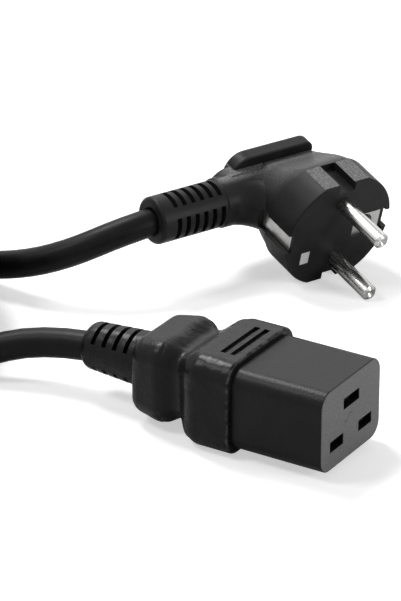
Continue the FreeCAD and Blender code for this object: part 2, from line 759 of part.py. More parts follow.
def earth_strip():
    """Bent strip: a base behind the bridge, a leg in each end groove and a holed plate on the face."""
    body = new_body("earth_strip_body")
    outer = size("clip_groove_floor") / 2
    t = size("strip_thickness")
    back = -size("strip_back")
    top = -size("plate_recess")
    path = sketch_on(body, "strip_bends", "YZ_Plane")
    start = size("plate_start")
    bend = size("strip_bend")
    draw_fixed(path, outline([
        (-outer, back - t, bend), (outer, back - t, bend), (outer, top, bend), (start, top, 0),
        (start, top - t, 0), (outer - t, top - t, bend - t), (outer - t, back, bend - t),
        (t - outer, back, bend - t), (t - outer, top, 0), (-outer, top, 0)]))
    pad(body, path, "Sizes.strip_width", both=True)
    plate = sketch_on(body, "plate_outline", above="-Sizes.plate_recess")
    half = size("plate_width") / 2
    corner = size("plate_corner")
    draw_fixed(plate, outline([(half, start, corner), (half, outer - bend, corner),
                               (-half, outer - bend, corner), (-half, start, corner)]))
    pad(body, plate, "Sizes.strip_thickness", reverse=True)
    hole = sketch_on(body, "plate_hole", along_y="Sizes.earth_hole_offset")
    draw_circle(hole, "Sizes.earth_hole_diameter")
    pocket(body, hole, "Sizes.plate_recess + 2 * Sizes.strip_thickness")
    return place(body, PLUG_FRAME)


def earth_sleeve():
    """Turned socket behind the hole in the plate, for the earth pin of a socket that has one."""
    body = new_body("earth_sleeve_body")
    profile = sketch_on(body, "sleeve_profile", "XZ_Plane")
    bore = size("sleeve_bore") / 2
    wall = size("sleeve_wall")
    outer = bore + wall
    front = -size("plate_recess") - size("strip_thickness")
    rear = front - size("sleeve_length")
    draw_fixed(profile, outline([(bore, front, 0), (outer, front, 0), (outer, rear, 0), (0, rear, 0),
                                 (0, rear + wall, 0), (bore, rear + wall, 0)]))
    turn(body, profile, "Revolution")
    offset = Vector(0, size("earth_hole_offset"), 0)
    return place(body, PLUG_FRAME.multiply(Placement(offset, Rotation())))


def bridge_body():
    """Hard bridge that spaces the pins, with the locating post that shows on the face."""
    body = new_body("bridge_block")
    block = sketch_on(body, "bridge_outline", above="-Sizes.bridge_front")
    draw_rectangle(block, "Sizes.pin_pitch + Sizes.shank_diameter + 2 * Sizes.bridge_wall",
                   "Sizes.bridge_length", "pin_chamfer")
    pad(body, block, "Sizes.strip_back - Sizes.bridge_front", reverse=True)
    arm = sketch_on(body, "bridge_arm", above="-Sizes.bridge_front")
    low = -size("post_position") - size("post_length") / 2
    side = size("post_offset") - size("post_width") / 2
    draw_fixed(arm, outline([(side, low, 0), (side + size("post_width"), low, 0),
                             (side + size("post_width"), 0, 0), (side, 0, 0)]))
    pad(body, arm, "Sizes.bridge_arm", reverse=True)
    post = sketch_on(body, "bridge_post")
    high = low + size("post_length")
    draw_fixed(post, outline([(side, low, 0), (side + size("post_width"), low, 0),
                              (side + size("post_width"), high, 0), (side, high, 0)]))
    pad(body, post, "Sizes.bridge_front", reverse=True)
    return place(body, PLUG_FRAME)


def plug_core(pole):
    """Insulated core from a pin's shank, or from the earth strip, to the end of the sheath in the neck."""
    lie = core_place(pole, size("core_circle"))
    depth = -size("neck_depth") + lie.y
    if pole == "earth":
        back = -size("strip_back") - size("strip_thickness")
        points = [Vector(0, -9.0, back), Vector(0, -9.0, back - 3.4), Vector(0, -15.5, depth)]
    else:
        side = math.copysign(size("pin_pitch") / 2, lie.x)
        back = -size("shank_length")
        points = [Vector(side, 0, back), Vector(side, 0, back - size("pin_core_lead")),
                  Vector(0.5 * side, -5.5, depth + 2.4), Vector(lie.x, -14.0, depth)]
    points.append(Vector(lie.x, -worth(LINED_SHEATH), depth))
    item = doc.addObject("Part::Feature", f"plug_{pole}_core_shape")
    item.Shape = tube(points, size("core_diameter"))
    return place(item, PLUG_FRAME)


# ------------------------------------------------------------------ cord and coil
def coil_ring():
    """Outer shape of the coiled length: a round-edged ring that lies flat."""
    item = doc.addObject("PartDesign::Body", "coil_body")
    across = size("coil_columns") * size("cord_diameter")
    tall = size("coil_layers") * size("cord_diameter")
    middle = size("coil_diameter") / 2
    section = sketch_on(item, "coil_section", "XZ_Plane")
    corner = size("coil_corner")
    draw_fixed(section, outline([
        (middle - across / 2, 0, corner), (middle + across / 2, 0, corner),
        (middle + across / 2, tall, corner), (middle - across / 2, tall, corner)]))
    turn(item, section, "Revolution")
    return place(item, Placement(Vector(size("coil_place_x"), size("coil_place_y"), 0), Rotation()))


def connector_route():
    """Points from inside the connector, down onto the surface and into the coil's lowest turn."""
    axis = worth(COLLAR_HEIGHT) / 2
    low = size("cord_diameter") / 2 + size("cord_lift")
    start = size("sheath_cover") - worth(RELIEF_END) / 2
    return [Vector(start, 0, axis), Vector(-55.4, 0, axis), Vector(-82.9, -17.1, 7.6),
            Vector(-99.3, -37.0, low)]


def plug_route():
    """Points from inside the plug's neck, sagging, down to the coil's last turn."""
    depth = -size("neck_depth")
    low = size("cord_diameter") / 2 + size("cord_lift")
    inside = PLUG_FRAME.multVec(Vector(0, -worth(LINED_SHEATH), depth))
    outside = PLUG_FRAME.multVec(Vector(0, -59.9, depth))
    return [inside, outside, Vector(-82.0, 34.6, 18.7), Vector(-104.4, 29.1, 10.9),
            Vector(-127.1, 34.8, low)]


def cord_run(name, route, coil):
    """A free stretch of cord, cut where it meets the coil."""
    shape = tube(route, size("cord_diameter"), name)
    item = doc.addObject("Part::Feature", f"{name}_tube")
    item.Shape = shape
    cut = doc.addObject("Part::Cut", f"{name}_cut")
    cut.Base = item
    cut.Tool = coil
    return cut


# ------------------------------------------------------------------ the nodes
NODES = {}


def node(name, item):
    """Names a finished piece; the name is also its file's."""
    item.Label = name
    NODES[name] = item
    return item


def build_nodes():
    """Makes every piece, inserts first, so that each moulding can leave room for what it holds."""
    coil = node("cord_coil", coil_ring())
    connector_cord = node("cord_at_connector", cord_run("connector_run", connector_route(), coil))
    plug_cord = node("cord_at_plug", cord_run("plug_run", plug_route(), coil))
    held = [node("connector_nose", connector_nose()), connector_cord]
    for pole in POLES:
        held.append(node(f"{pole}_contact", contact(pole)))
        held.append(node(f"connector_{pole}_core", connector_core(pole)))
    node("connector_grip", moulded_round("grip_moulding", connector_grip_body(), held))
    metal = [node("line_pin", pin("line_pin", 1)), node("neutral_pin", pin("neutral_pin", -1)),
             node("earth_strip", earth_strip()), node("earth_sleeve", earth_sleeve())]
    bridge = node("pin_bridge", moulded_round("bridge_moulding", bridge_body(), metal))
    cores = [node(f"plug_{pole}_core", plug_core(pole)) for pole in POLES]
    inserts = metal + cores + [bridge, plug_cord]
    node("plug_body", moulded_round("plug_moulding_cut", plug_body_solid(), inserts))


def check_and_write():
    """Stops on a failed object or a bad shape, then writes one STEP file for each node."""
    doc.recompute()
    failed = [item.Name for item in doc.Objects if "Invalid" in item.State or "Error" in item.State]
    if failed:
        raise SystemExit(f"failed objects: {failed}")
    for name, item in NODES.items():
        shape = item.Shape
        if shape.isNull() or not shape.isValid() or len(shape.Solids) != 1:
            raise SystemExit(f"{name} is not one valid solid")
    os.makedirs("parts", exist_ok=True)
    for name, item in NODES.items():
        item.Shape.exportStep(f"parts/{name}.step")
        print(name, round(item.Shape.Volume, 1))


build_nodes()
check_and_write()
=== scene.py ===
"""Looks of a moulded power cord: mouldings, metal, the flexible cord and a plain studio.

Everything is in metres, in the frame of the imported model: +X out of the connector, +Z up.
"""

import math

import bpy
from mathutils import Matrix, Vector


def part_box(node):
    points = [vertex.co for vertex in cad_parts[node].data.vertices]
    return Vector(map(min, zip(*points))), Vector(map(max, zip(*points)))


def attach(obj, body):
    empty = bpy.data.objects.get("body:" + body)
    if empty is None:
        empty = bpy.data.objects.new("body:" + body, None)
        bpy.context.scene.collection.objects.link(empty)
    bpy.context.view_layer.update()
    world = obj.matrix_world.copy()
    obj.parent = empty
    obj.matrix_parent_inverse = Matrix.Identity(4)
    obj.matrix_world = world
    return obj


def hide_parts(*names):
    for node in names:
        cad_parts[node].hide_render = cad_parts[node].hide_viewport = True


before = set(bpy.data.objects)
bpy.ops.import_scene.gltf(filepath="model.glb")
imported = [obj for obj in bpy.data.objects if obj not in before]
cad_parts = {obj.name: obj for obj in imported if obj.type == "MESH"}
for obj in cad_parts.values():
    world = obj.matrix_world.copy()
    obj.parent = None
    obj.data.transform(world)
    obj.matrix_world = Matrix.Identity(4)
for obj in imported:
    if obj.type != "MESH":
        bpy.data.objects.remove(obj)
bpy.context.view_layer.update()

MM = 0.001


def mm(*numbers):
    """A point given in millimetres."""
    return Vector([n * MM for n in numbers])


# ------------------------------------------------------------------ camera
VIEW_AZIMUTH = math.radians(32.0)
VIEW_ELEVATION = math.radians(25.0)
VIEW_DISTANCE = 0.9
LENS = 200.0
SENSOR = 36.0
NEAREST_SEEN = 0.01
FARTHEST_SEEN = 20.0
ORIGIN_RIGHT_OF_CENTRE = 4.7 * MM
ORIGIN_BELOW_CENTRE = 33.1 * MM


def view_axes(azimuth, elevation):
    """Right, up and forward of a level camera that looks down by the elevation."""
    forward = Vector((-math.sin(azimuth) * math.cos(elevation),
                      math.cos(azimuth) * math.cos(elevation), -math.sin(elevation)))
    right = Vector((math.cos(azimuth), math.sin(azimuth), 0.0))
    return right, right.cross(forward), forward


def make_camera():
    """The camera, aimed so that the frame's origin lies off the middle of the view."""
    right, up, forward = view_axes(VIEW_AZIMUTH, VIEW_ELEVATION)
    aim = up * ORIGIN_BELOW_CENTRE - right * ORIGIN_RIGHT_OF_CENTRE
    data = bpy.data.cameras.new("studio_camera")
    data.lens = LENS
    data.sensor_width = SENSOR
    data.clip_start = NEAREST_SEEN
    data.clip_end = FARTHEST_SEEN
    camera = bpy.data.objects.new("studio_camera", data)
    bpy.context.scene.collection.objects.link(camera)
    turned = Matrix((right, up, -forward)).transposed()
    camera.matrix_world = Matrix.Translation(aim - forward * VIEW_DISTANCE) @ turned.to_4x4()
    bpy.context.scene.camera = camera


make_camera()

# ------------------------------------------------------------------ frame of the plug
# The plug lies on one edge of its flank and on the side of its lower pin's tip, so it is tilted.
PLUG_PLACE = mm(-18.0, 96.0, 0.0)
PLUG_HEADING = math.radians(-23.0)
PLUG_FLANK = 17.0 * MM
PIN_SIDE = 11.9 * MM
PIN_REACH = 18.3 * MM
# How far behind the plug's face its cord comes out, in millimetres.
NECK_DEPTH = 25.5


def plug_matrix():
    """Rotation and place of the plug: x across the pins, y towards the earth hole, z out of its face."""
    tilt = math.atan2(PLUG_FLANK - PIN_SIDE, PIN_REACH)
    across = Vector((-math.sin(PLUG_HEADING), math.cos(PLUG_HEADING), 0.0))
    ahead = Vector((math.cos(PLUG_HEADING), math.sin(PLUG_HEADING), 0.0)) * math.cos(tilt)
    ahead.z = -math.sin(tilt)
    turned = Matrix((across.cross(ahead), across, ahead)).transposed()
    place = PLUG_PLACE + Vector((0.0, 0.0, PLUG_FLANK * math.cos(tilt)))
    return Matrix.Translation(place) @ turned.to_4x4()


PLUG = plug_matrix()


def on_plug(x, y, z):
    """A point given in the plug's own millimetres."""
    return PLUG @ mm(x, y, z)


# ------------------------------------------------------------------ the cord
CORD_DIAMETER = 8.4 * MM
CORD_STEPS = 6
CORD_ROUNDNESS = 6
# Heights of the cord's middle in millimetres: as it leaves the connector, and on the floor.
CORD_AXIS = 13.4
CORD_LOW = 4.25
CONNECTOR_ROUTE = [mm(-24.2, 0.0, CORD_AXIS), mm(-52.0, 0.0, CORD_AXIS), mm(-77.0, -14.0, 5.4),
                   mm(-92.2, -39.5, CORD_LOW)]
PLUG_ROUTE = [on_plug(0.0, -37.0, -NECK_DEPTH), on_plug(0.0, -54.2, -NECK_DEPTH),
              mm(-81.0, 40.0, 13.2), mm(-105.5, 39.8, 5.7), mm(-120.2, 41.8, CORD_LOW)]

COIL_CENTRE = mm(-131.0, -7.0, 0.0)
COIL_RADIUS = 44.0 * MM
COIL_POINTS = 16
COIL_START = math.radians(-66.0)
COIL_END = math.radians(107.0)
COIL_TURNS = 6
COIL_PLACES = 6
# The coil's section, in diameters: a column's middle from the coil's radius, the height of the top
# lays, and how far a lay swings out or up as it passes another.
COLUMN_OUT = 0.5
TOP_LAYS = 2.0
SIDE_BULGE = 0.30
TOP_LIFT = 0.30
# A lay moves on in this part of each turn.
SHIFT_START = 0.17
SHIFT_SPAN = 0.50


def smooth(t):
    """An even start and stop between 0 and 1."""
    t = min(1.0, max(0.0, t))
    return t * t * (3.0 - 2.0 * t)


def lay_in_coil(turns):
    """Where the cord lies in the coil's section after so many turns, in diameters: (outward, up).

    Six lays stand in two columns of three. In each turn every lay moves on by one place round the
    section: outer bottom (0), inner bottom (1), up the inner column (2, 3), over the top (4) and
    down the outer column (5). It swings clear of the lay that it passes.
    """
    whole = int(math.floor(turns))
    part = smooth((turns - whole - SHIFT_START) / SHIFT_SPAN)
    swell = math.sin(math.pi * part) ** 2
    place = whole % COIL_PLACES
    lift = TOP_LIFT * swell
    if place == 0:
        return COLUMN_OUT * math.cos(math.pi * part), 0.0
    if place in (1, 2):
        return -COLUMN_OUT - SIDE_BULGE * swell, place - 1 + part + lift
    if place == 3:
        return -COLUMN_OUT * math.cos(math.pi * part), TOP_LAYS + 2.0 * lift
    return COLUMN_OUT + SIDE_BULGE * swell, COIL_PLACES - place - part + lift


def coil_points():
    """Points of the coiled length, clockwise seen from above."""
    step = 2.0 * math.pi / COIL_POINTS
    sweep = COIL_START - COIL_END + COIL_TURNS * 2.0 * math.pi
    count = int(round(sweep / step))
    outside = 1.0 / math.cos(step / 2.0)
    points = []
    for i in range(count + 1):
        turned = sweep * i / count
        angle = COIL_START - turned
        out, up = lay_in_coil(turned / (2.0 * math.pi))
        radius = (COIL_RADIUS + out * CORD_DIAMETER) * outside
        height = CORD_LOW * MM + up * CORD_DIAMETER
        points.append(COIL_CENTRE + Vector((radius * math.cos(angle), radius * math.sin(angle), height)))
    return points


def make_cord():
    """One spline from inside the connector, through the coil, into the plug."""
    points = CONNECTOR_ROUTE + coil_points() + list(reversed(PLUG_ROUTE))
    data = bpy.data.curves.new("flexible_cord", "CURVE")
    data.dimensions = "3D"
    data.resolution_u = CORD_STEPS
    data.bevel_depth = CORD_DIAMETER / 2.0
    data.bevel_resolution = CORD_ROUNDNESS
    data.use_fill_caps = True
    spline = data.splines.new("NURBS")
    spline.points.add(len(points) - 1)
    for point, place in zip(spline.points, points):
        point.co = (*place, 1.0)
    spline.order_u = 3
    spline.use_endpoint_u = True
    cord = bpy.data.objects.new("flexible_cord", data)
    bpy.context.scene.collection.objects.link(cord)
    return cord


cord = make_cord()


# ------------------------------------------------------------------ shader groups
def grey(value):
    return (value, value, value, 1.0)


class Nodes:
    """A short way to write a node tree. A value is a number, a colour or another node's socket."""

    def __init__(self, tree):
        self.tree = tree

    def put(self, socket, value):
        """Links a socket into an input, or sets the input's own value."""
        if isinstance(value, bpy.types.NodeSocket):
            self.tree.links.new(value, socket)
        else:
            socket.default_value = value

    def new(self, kind, values, **settings):
        """Outputs of a new node, which gets its settings first and then values by input."""
        made = self.tree.nodes.new(kind)
        for name, value in settings.items():
            setattr(made, name, value)
        for key, value in values.items():
            self.put(made.inputs[key], value)
        return made.outputs

    def add(self, kind, *values, **settings):
        """First output of a new node whose inputs take the values in their order."""
        return self.new(kind, dict(enumerate(values)), **settings)[0]

    def named(self, kind, values, **settings):
        """First output of a new node whose inputs take the values by name."""
        return self.new(kind, values, **settings)[0]

    def math(self, operation, *values):
        return self.add("ShaderNodeMath", *values, operation=operation)

    def plus(self, first, second):
        return self.math("ADD", first, second)

    def minus(self, first, second):
        return self.math("SUBTRACT", first, second)

    def times(self, first, *others):
        """The product of two or more values."""
        for other in others:
            first = self.math("MULTIPLY", first, other)
        return first

    def absolute(self, value):
        """A value without its sign."""
        return self.math("ABSOLUTE", value)

    def ripple(self, value):
        """Rounded ribs from 0 to 1, one for each pi that the value grows by."""
        return self.absolute(self.math("SINE", value))

    def spread(self, value, limits, results=(0.0, 1.0)):
        """Moves evenly between two results as the value goes from one limit to the other."""
        return self.add("ShaderNodeMapRange", value, *limits, *results)

    def zone(self, value, limits_mm):
        """0 before the first limit and 1 past the second, both in millimetres."""
        return self.spread(value, [limit * MM for limit in limits_mm])

    def between(self, share, ends):
        """The first end at a share of 0 and the second at a share of 1."""
        return self.spread(share, (0.0, 1.0), ends)

    def noise(self, vector, scale, detail=2.0, roughness=0.5):
        values = {"Vector": vector, "Scale": scale, "Detail": detail, "Roughness": roughness}
        return self.new("ShaderNodeTexNoise", values)["Fac"]

    def mix(self, share, first, second):
        values = {"Factor": share, "A": first, "B": second}
        return self.new("ShaderNodeMix", values, data_type="RGBA")["Result"]

    def tone(self, share, tones):
        """A grey between two tones."""
        return self.mix(share, grey(tones[0]), grey(tones[1]))

    def split(self, vector):
        """The x, y and z of a vector."""
        return self.new("ShaderNodeSeparateXYZ", {"Vector": vector})

    def vector(self, x, y, z):
        return self.add("ShaderNodeCombineXYZ", x, y, z)


def new_group(name, inputs, outputs):
    """A shader node group that takes a Vector and some numbers, and puts out some numbers."""
    tree = bpy.data.node_groups.new(name, "ShaderNodeTree")
    tree.interface.new_socket("Vector", in_out="INPUT", socket_type="NodeSocketVector")
    for label, value in inputs.items():
        socket = tree.interface.new_socket(label, in_out="INPUT", socket_type="NodeSocketFloat")
        socket.default_value = value
    for label in outputs:
        tree.interface.new_socket(label, in_out="OUTPUT", socket_type="NodeSocketFloat")
    nodes = Nodes(tree)
    start = tree.nodes.new("NodeGroupInput")
    end = tree.nodes.new("NodeGroupOutput")
    return nodes, start.outputs, end.inputs


# Shares are of a mixture of two patterns. A pair is the part of a pattern's range that is used.
GRAIN_NOISE_SHARE = 0.6
GRAIN_PITS_SHARE = 0.4
GRAIN_PIT_DEPTHS = (0.0, 0.9)
GRAIN_SPECKLE = (0.30, 0.62)
SMEAR_FINENESS = 4.0
SMEAR_SHARE = 0.5
FLOW_TONES = (0.30, 0.70)
FLOW_GLOSS = (0.35, 0.65)
DRAWN_STRETCH = (900.0, 900.0, 18.0)
DRAWN_STREAKS_AND_REFLECTIONS = (0.35, 0.65)


def grain_group():
    """Spark-eroded grain of a mould: a height and a speckle, both from the surface's own place."""
    nodes, given, result = new_group("mould_grain", {"Size mm": 0.4, "Softness": 0.5},
                                     ("Height", "Speckle"))
    scale = nodes.math("DIVIDE", 1.0 / MM, given["Size mm"])
    fine = nodes.noise(given["Vector"], scale, detail=3.0, roughness=given["Softness"])
    cells = nodes.new("ShaderNodeTexVoronoi", {"Vector": given["Vector"], "Scale": scale})
    pits = nodes.spread(cells["Distance"], GRAIN_PIT_DEPTHS)
    height = nodes.plus(nodes.times(fine, GRAIN_NOISE_SHARE), nodes.times(pits, GRAIN_PITS_SHARE))
    nodes.put(result["Height"], height)
    nodes.put(result["Speckle"], nodes.spread(height, GRAIN_SPECKLE))
    return nodes.tree


def mottle_group():
    """Slow change of tone and gloss across a moulding, as from flow and handling."""
    nodes, given, result = new_group("flow_mottle", {"Size mm": 12.0}, ("Tone", "Gloss"))
    scale = nodes.math("DIVIDE", 1.0 / MM, given["Size mm"])
    slow = nodes.noise(given["Vector"], scale, detail=3.0, roughness=0.55)
    finer = nodes.times(scale, SMEAR_FINENESS)
    smear = nodes.noise(given["Vector"], finer, detail=4.0, roughness=0.65)
    nodes.put(result["Tone"], nodes.spread(slow, FLOW_TONES))
    mixed = nodes.plus(nodes.times(slow, 1.0 - SMEAR_SHARE), nodes.times(smear, SMEAR_SHARE))
    nodes.put(result["Gloss"], nodes.spread(mixed, FLOW_GLOSS))
    return nodes.tree


def turned_group():
    """Fine rings and drawn streaks of a metal piece about the z axis of the vector."""
    nodes, given, result = new_group("turned_rings", {"Rings per mm": 6.0}, ("Height", "Streak and reflection"))
    along = nodes.times(nodes.split(given["Vector"])["Z"], 1.0 / MM)
    rings = nodes.vector(0.0, 0.0, nodes.times(along, given["Rings per mm"]))
    drawn = nodes.add("ShaderNodeVectorMath", given["Vector"], DRAWN_STRETCH, operation="MULTIPLY")
    nodes.put(result["Height"], nodes.noise(rings, 1.0, detail=4.0, roughness=0.7))
    # where the pins use it, the streak also darkens them as painted reflection
    nodes.put(result["Streak and reflection"], nodes.spread(nodes.noise(drawn, 1.0), DRAWN_STREAKS_AND_REFLECTIONS))
    return nodes.tree


GRAIN = grain_group()
MOTTLE = mottle_group()
TURNED = turned_group()


# ------------------------------------------------------------------ materials
def start_material(name):
    """An empty material and its shader: returns the node writer, the Principled BSDF and the place vector."""
    material = bpy.data.materials.new(name)
    material.use_nodes = True
    tree = material.node_tree
    tree.nodes.clear()
    nodes = Nodes(tree)
    shader = tree.nodes.new("ShaderNodeBsdfPrincipled")
    output = tree.nodes.new("ShaderNodeOutputMaterial")
    tree.links.new(shader.outputs["BSDF"], output.inputs["Surface"])
    place = tree.nodes.new("ShaderNodeTexCoord").outputs["Object"]
    return material, nodes, shader, place


def mottle(nodes, place, size_mm):
    """Tone and Gloss of the flow marks, at a size that suits the piece."""
    return nodes.new("ShaderNodeGroup", {"Vector": place, "Size mm": size_mm}, node_tree=MOTTLE)


def grain(nodes, place, size_mm):
    """Height and Speckle of the mould's grain, at a size that suits the piece."""
    return nodes.new("ShaderNodeGroup", {"Vector": place, "Size mm": size_mm}, node_tree=GRAIN)


def bump(nodes, shader, height, depth_mm):
    """Raises the surface by a height of 0 to 1 times a depth."""
    values = {"Strength": 1.0, "Distance": depth_mm * MM, "Height": height}
    nodes.put(shader.inputs["Normal"], nodes.new("ShaderNodeBump", values)["Normal"])


def own_place(nodes, place, own):
    """A point's coordinates in a piece's own frame, for patterns that follow the piece."""
    values = {"Location": own.to_translation(), "Rotation": own.to_euler("XYZ"), "Vector": place}
    return nodes.new("ShaderNodeMapping", values, vector_type="TEXTURE")["Vector"]


SOFT_SPECULAR = 0.10
SOFT_GLOSS_DRIFT = (-0.05, 0.06)
METAL_GLOSS_DRIFT = (-0.05, 0.08)

# Flash on a parting edge, painted as pale flecks that are partly real flash and partly a painted
# highlight along the edge: how far it reaches in millimetres, how fine its flecks are and how much
# of the edge they cover, and how pale and rough they are.
FLASH_AND_HIGHLIGHT_REACH = (0.40, 0.15)
FLASH_FINENESS = 650.0
FLASH_AND_HIGHLIGHT_FLECKS = (0.42, 0.60)
FLASH_AND_HIGHLIGHT_TONE = 0.055
FLASH_ROUGHER = 0.25

CORE_PALER = 1.2
CORE_ROUGHNESS = (0.40, 0.52)
BAND_FINENESS = 60.0
BAND_EDGE = (0.45, 0.55)
METAL_DULLER = 0.9
# The pins' darker tone along the drawn streaks is partly real drawing marks and partly painted dark
# reflection along the pins.
PIN_DARK_STREAK_AND_REFLECTION = (0.30, 0.295, 0.29, 1.0)
PIN_BRIGHT = (0.66, 0.655, 0.64, 1.0)
PIN_ROUGHNESS = (0.16, 0.26)


def drift(nodes, flow, middle, ends):
    """Roughness that drifts with the flow marks to either side of a middle value."""
    return nodes.between(flow["Gloss"], (middle + ends[0], middle + ends[1]))


def soft_pvc(name, tones, roughness, grain_mm, grain_depth, specular=SOFT_SPECULAR, wave_depth=0.0,
             lip=None):
    """Flexible moulded PVC, satin, with slow flow marks, a faint grain and, where it sank, a soft wave.

    Depths are in millimetres. A lip is the x of an edge that flash has left rough in places, with pale
    flecks that are partly flash and partly a painted highlight along the edge.
    """
    material, nodes, shader, place = start_material(name)
    shader.inputs["Specular IOR Level"].default_value = specular
    flow = mottle(nodes, place, size_mm=9.0)
    shade = nodes.tone(flow["Tone"], tones)
    rough = drift(nodes, flow, roughness, SOFT_GLOSS_DRIFT)
    if lip is not None:
        # pale flecks along the lip: partly flash, partly a painted highlight on the edge
        from_lip = nodes.absolute(nodes.minus(nodes.split(place)["X"], lip))
        ragged = nodes.noise(place, FLASH_FINENESS, detail=3.0, roughness=0.65)
        flash_and_highlight = nodes.times(nodes.zone(from_lip, FLASH_AND_HIGHLIGHT_REACH), nodes.spread(ragged, FLASH_AND_HIGHLIGHT_FLECKS))
        shade = nodes.mix(flash_and_highlight, shade, grey(FLASH_AND_HIGHLIGHT_TONE))
        rough = nodes.plus(rough, nodes.times(flash_and_highlight, FLASH_ROUGHER))
    nodes.put(shader.inputs["Base Color"], shade)
    nodes.put(shader.inputs["Roughness"], rough)
    wave = nodes.times(flow["Tone"], wave_depth / grain_depth)
    bump(nodes, shader, nodes.plus(grain(nodes, place, grain_mm)["Height"], wave), grain_depth)
    return material


def core_pvc(name, colour, stripe=None):
    """Insulation of a core, with a second colour in slanting bands where it has one."""
    material, nodes, shader, place = start_material(name)
    flow = mottle(nodes, place, size_mm=3.0)
    paler = [c * CORE_PALER for c in colour]
    shade = nodes.mix(flow["Tone"], (*colour, 1.0), (*paler, 1.0))
    if stripe:
        bands = nodes.new("ShaderNodeTexWave", {"Vector": place, "Scale": BAND_FINENESS},
                          bands_direction="DIAGONAL")
        shade = nodes.mix(nodes.spread(bands["Fac"], BAND_EDGE), shade, (*stripe, 1.0))
    nodes.put(shader.inputs["Base Color"], shade)
    nodes.put(shader.inputs["Roughness"], nodes.between(flow["Gloss"], CORE_ROUGHNESS))
    return material


def plain_metal(name, colour, roughness=0.32):
    """Plated strip, a little duller in places."""
    material, nodes, shader, place = start_material(name)
    flow = mottle(nodes, place, size_mm=4.0)
    duller = [c * METAL_DULLER for c in colour]
    nodes.put(shader.inputs["Base Color"], nodes.mix(flow["Tone"], (*colour, 1.0), (*duller, 1.0)))
    nodes.put(shader.inputs["Roughness"], drift(nodes, flow, roughness, METAL_GLOSS_DRIFT))
    shader.inputs["Metallic"].default_value = 1.0
    return material


def pin_metal():
    """Bright nickel plate over turned brass."""
    material, nodes, shader, place = start_material("bright_nickel")
    turned = {"Vector": own_place(nodes, place, PLUG), "Rings per mm": 5.0}
    rings = nodes.new("ShaderNodeGroup", turned, node_tree=TURNED)
    # dark streaks along the pins: partly drawing marks, partly painted reflection
    nodes.put(shader.inputs["Base Color"], nodes.mix(rings["Streak and reflection"], PIN_DARK_STREAK_AND_REFLECTION, PIN_BRIGHT))
    nodes.put(shader.inputs["Roughness"], nodes.between(rings["Streak and reflection"], PIN_ROUGHNESS))
    shader.inputs["Metallic"].default_value = 1.0
    bump(nodes, shader, rings["Height"], depth_mm=0.006)
    return material


# Edges of the plug's finishes in its own frame, in millimetres: none of a finish at the first
# number and all of it at the second. Sides are measured either way from the middle.
FLANK_SIDE = (16.85, 16.95)
FLANK_BACK = (-10.9, -10.8)
FLANK_FRONT = (-0.7, -0.8)
MOUND_SIDE = (7.2, 7.9)
MOUND_SIDE_END = (8.15, 8.05)
MOUND_SIDE_TOP = (-24.5, -26.5)
SHOULDER_TOP = (-11.5, -15.0)
SHOULDER_END = (-16.0, -9.0)
UNDER_BAR = (-28.1, -27.7)
MOUND_TOP = (-23.5, -26.5)
MOUND_END = (-27.5, -25.0)

PLUG_SPECULAR = 0.12
PLUG_ROUGHNESS = (0.34, 0.46)
PLUG_TONES = (0.009, 0.015)
# The frosted, mound and eroded tones are far paler than the plain black: painted light on the faces that turn
# up to the lamps, over a real speckled grain.
FROSTED_PAINTED_LIGHT_TONES = (0.022, 0.110)
MOUND_PAINTED_LIGHT_TONES = (0.050, 0.190)
ERODED_PAINTED_LIGHT_TONES = (0.055, 0.200)
ERODED_ROUGHER = 0.22
ERODED_DEEPER = 2.5


def plug_pvc():
    """The plug's moulding, in three finishes that the mould gave it.

    It is satin on its face, neck, bar and relief. Its shoulders and the mound behind its head get a
    coarse speckle painted much paler than the satin, the mound paler still: painted light where they face
    the lamps. Its flanks and the mound's sides have deeper spark-eroded panels, rougher and bumped, whose
    pale tone is painted light as well.
    """
    material, nodes, shader, place = start_material("plug_moulding")
    shader.inputs["Specular IOR Level"].default_value = PLUG_SPECULAR
    own = own_place(nodes, place, PLUG)
    flow = mottle(nodes, own, size_mm=8.0)
    satin = grain(nodes, own, size_mm=0.5)
    coarse = grain(nodes, own, size_mm=0.44)
    across, along, out = nodes.split(own)
    side = nodes.absolute(across)

    flank_panel = nodes.times(nodes.zone(side, FLANK_SIDE), nodes.zone(out, FLANK_BACK),
                              nodes.zone(out, FLANK_FRONT))
    mound_panel = nodes.times(nodes.zone(side, MOUND_SIDE), nodes.zone(side, MOUND_SIDE_END),
                              nodes.zone(out, MOUND_SIDE_TOP))
    panel = nodes.math("MAXIMUM", flank_panel, mound_panel)

    on_mound = nodes.times(nodes.zone(out, MOUND_TOP), nodes.zone(along, MOUND_END))
    frost_painted_light = nodes.times(nodes.zone(out, SHOULDER_TOP), nodes.zone(out, UNDER_BAR),
                        nodes.math("MAXIMUM", nodes.zone(along, SHOULDER_END), on_mound))

    plain = nodes.tone(flow["Tone"], PLUG_TONES)
    # paler speckled tones on the shoulders, mound and panels: painted light over real grain
    frosted_painted_light = nodes.tone(coarse["Speckle"], FROSTED_PAINTED_LIGHT_TONES)
    mound_painted_light = nodes.tone(coarse["Speckle"], MOUND_PAINTED_LIGHT_TONES)
    eroded_painted_light = nodes.tone(coarse["Speckle"], ERODED_PAINTED_LIGHT_TONES)
    body = nodes.mix(frost_painted_light, plain, nodes.mix(on_mound, frosted_painted_light, mound_painted_light))
    nodes.put(shader.inputs["Base Color"], nodes.mix(panel, body, eroded_painted_light))

    gloss = nodes.between(flow["Gloss"], PLUG_ROUGHNESS)
    nodes.put(shader.inputs["Roughness"], nodes.plus(gloss, nodes.times(panel, ERODED_ROUGHER)))
    deeper = nodes.times(coarse["Height"], panel, ERODED_DEEPER)
    bump(nodes, shader, nodes.plus(satin["Height"], deeper), depth_mm=0.022)
    return material


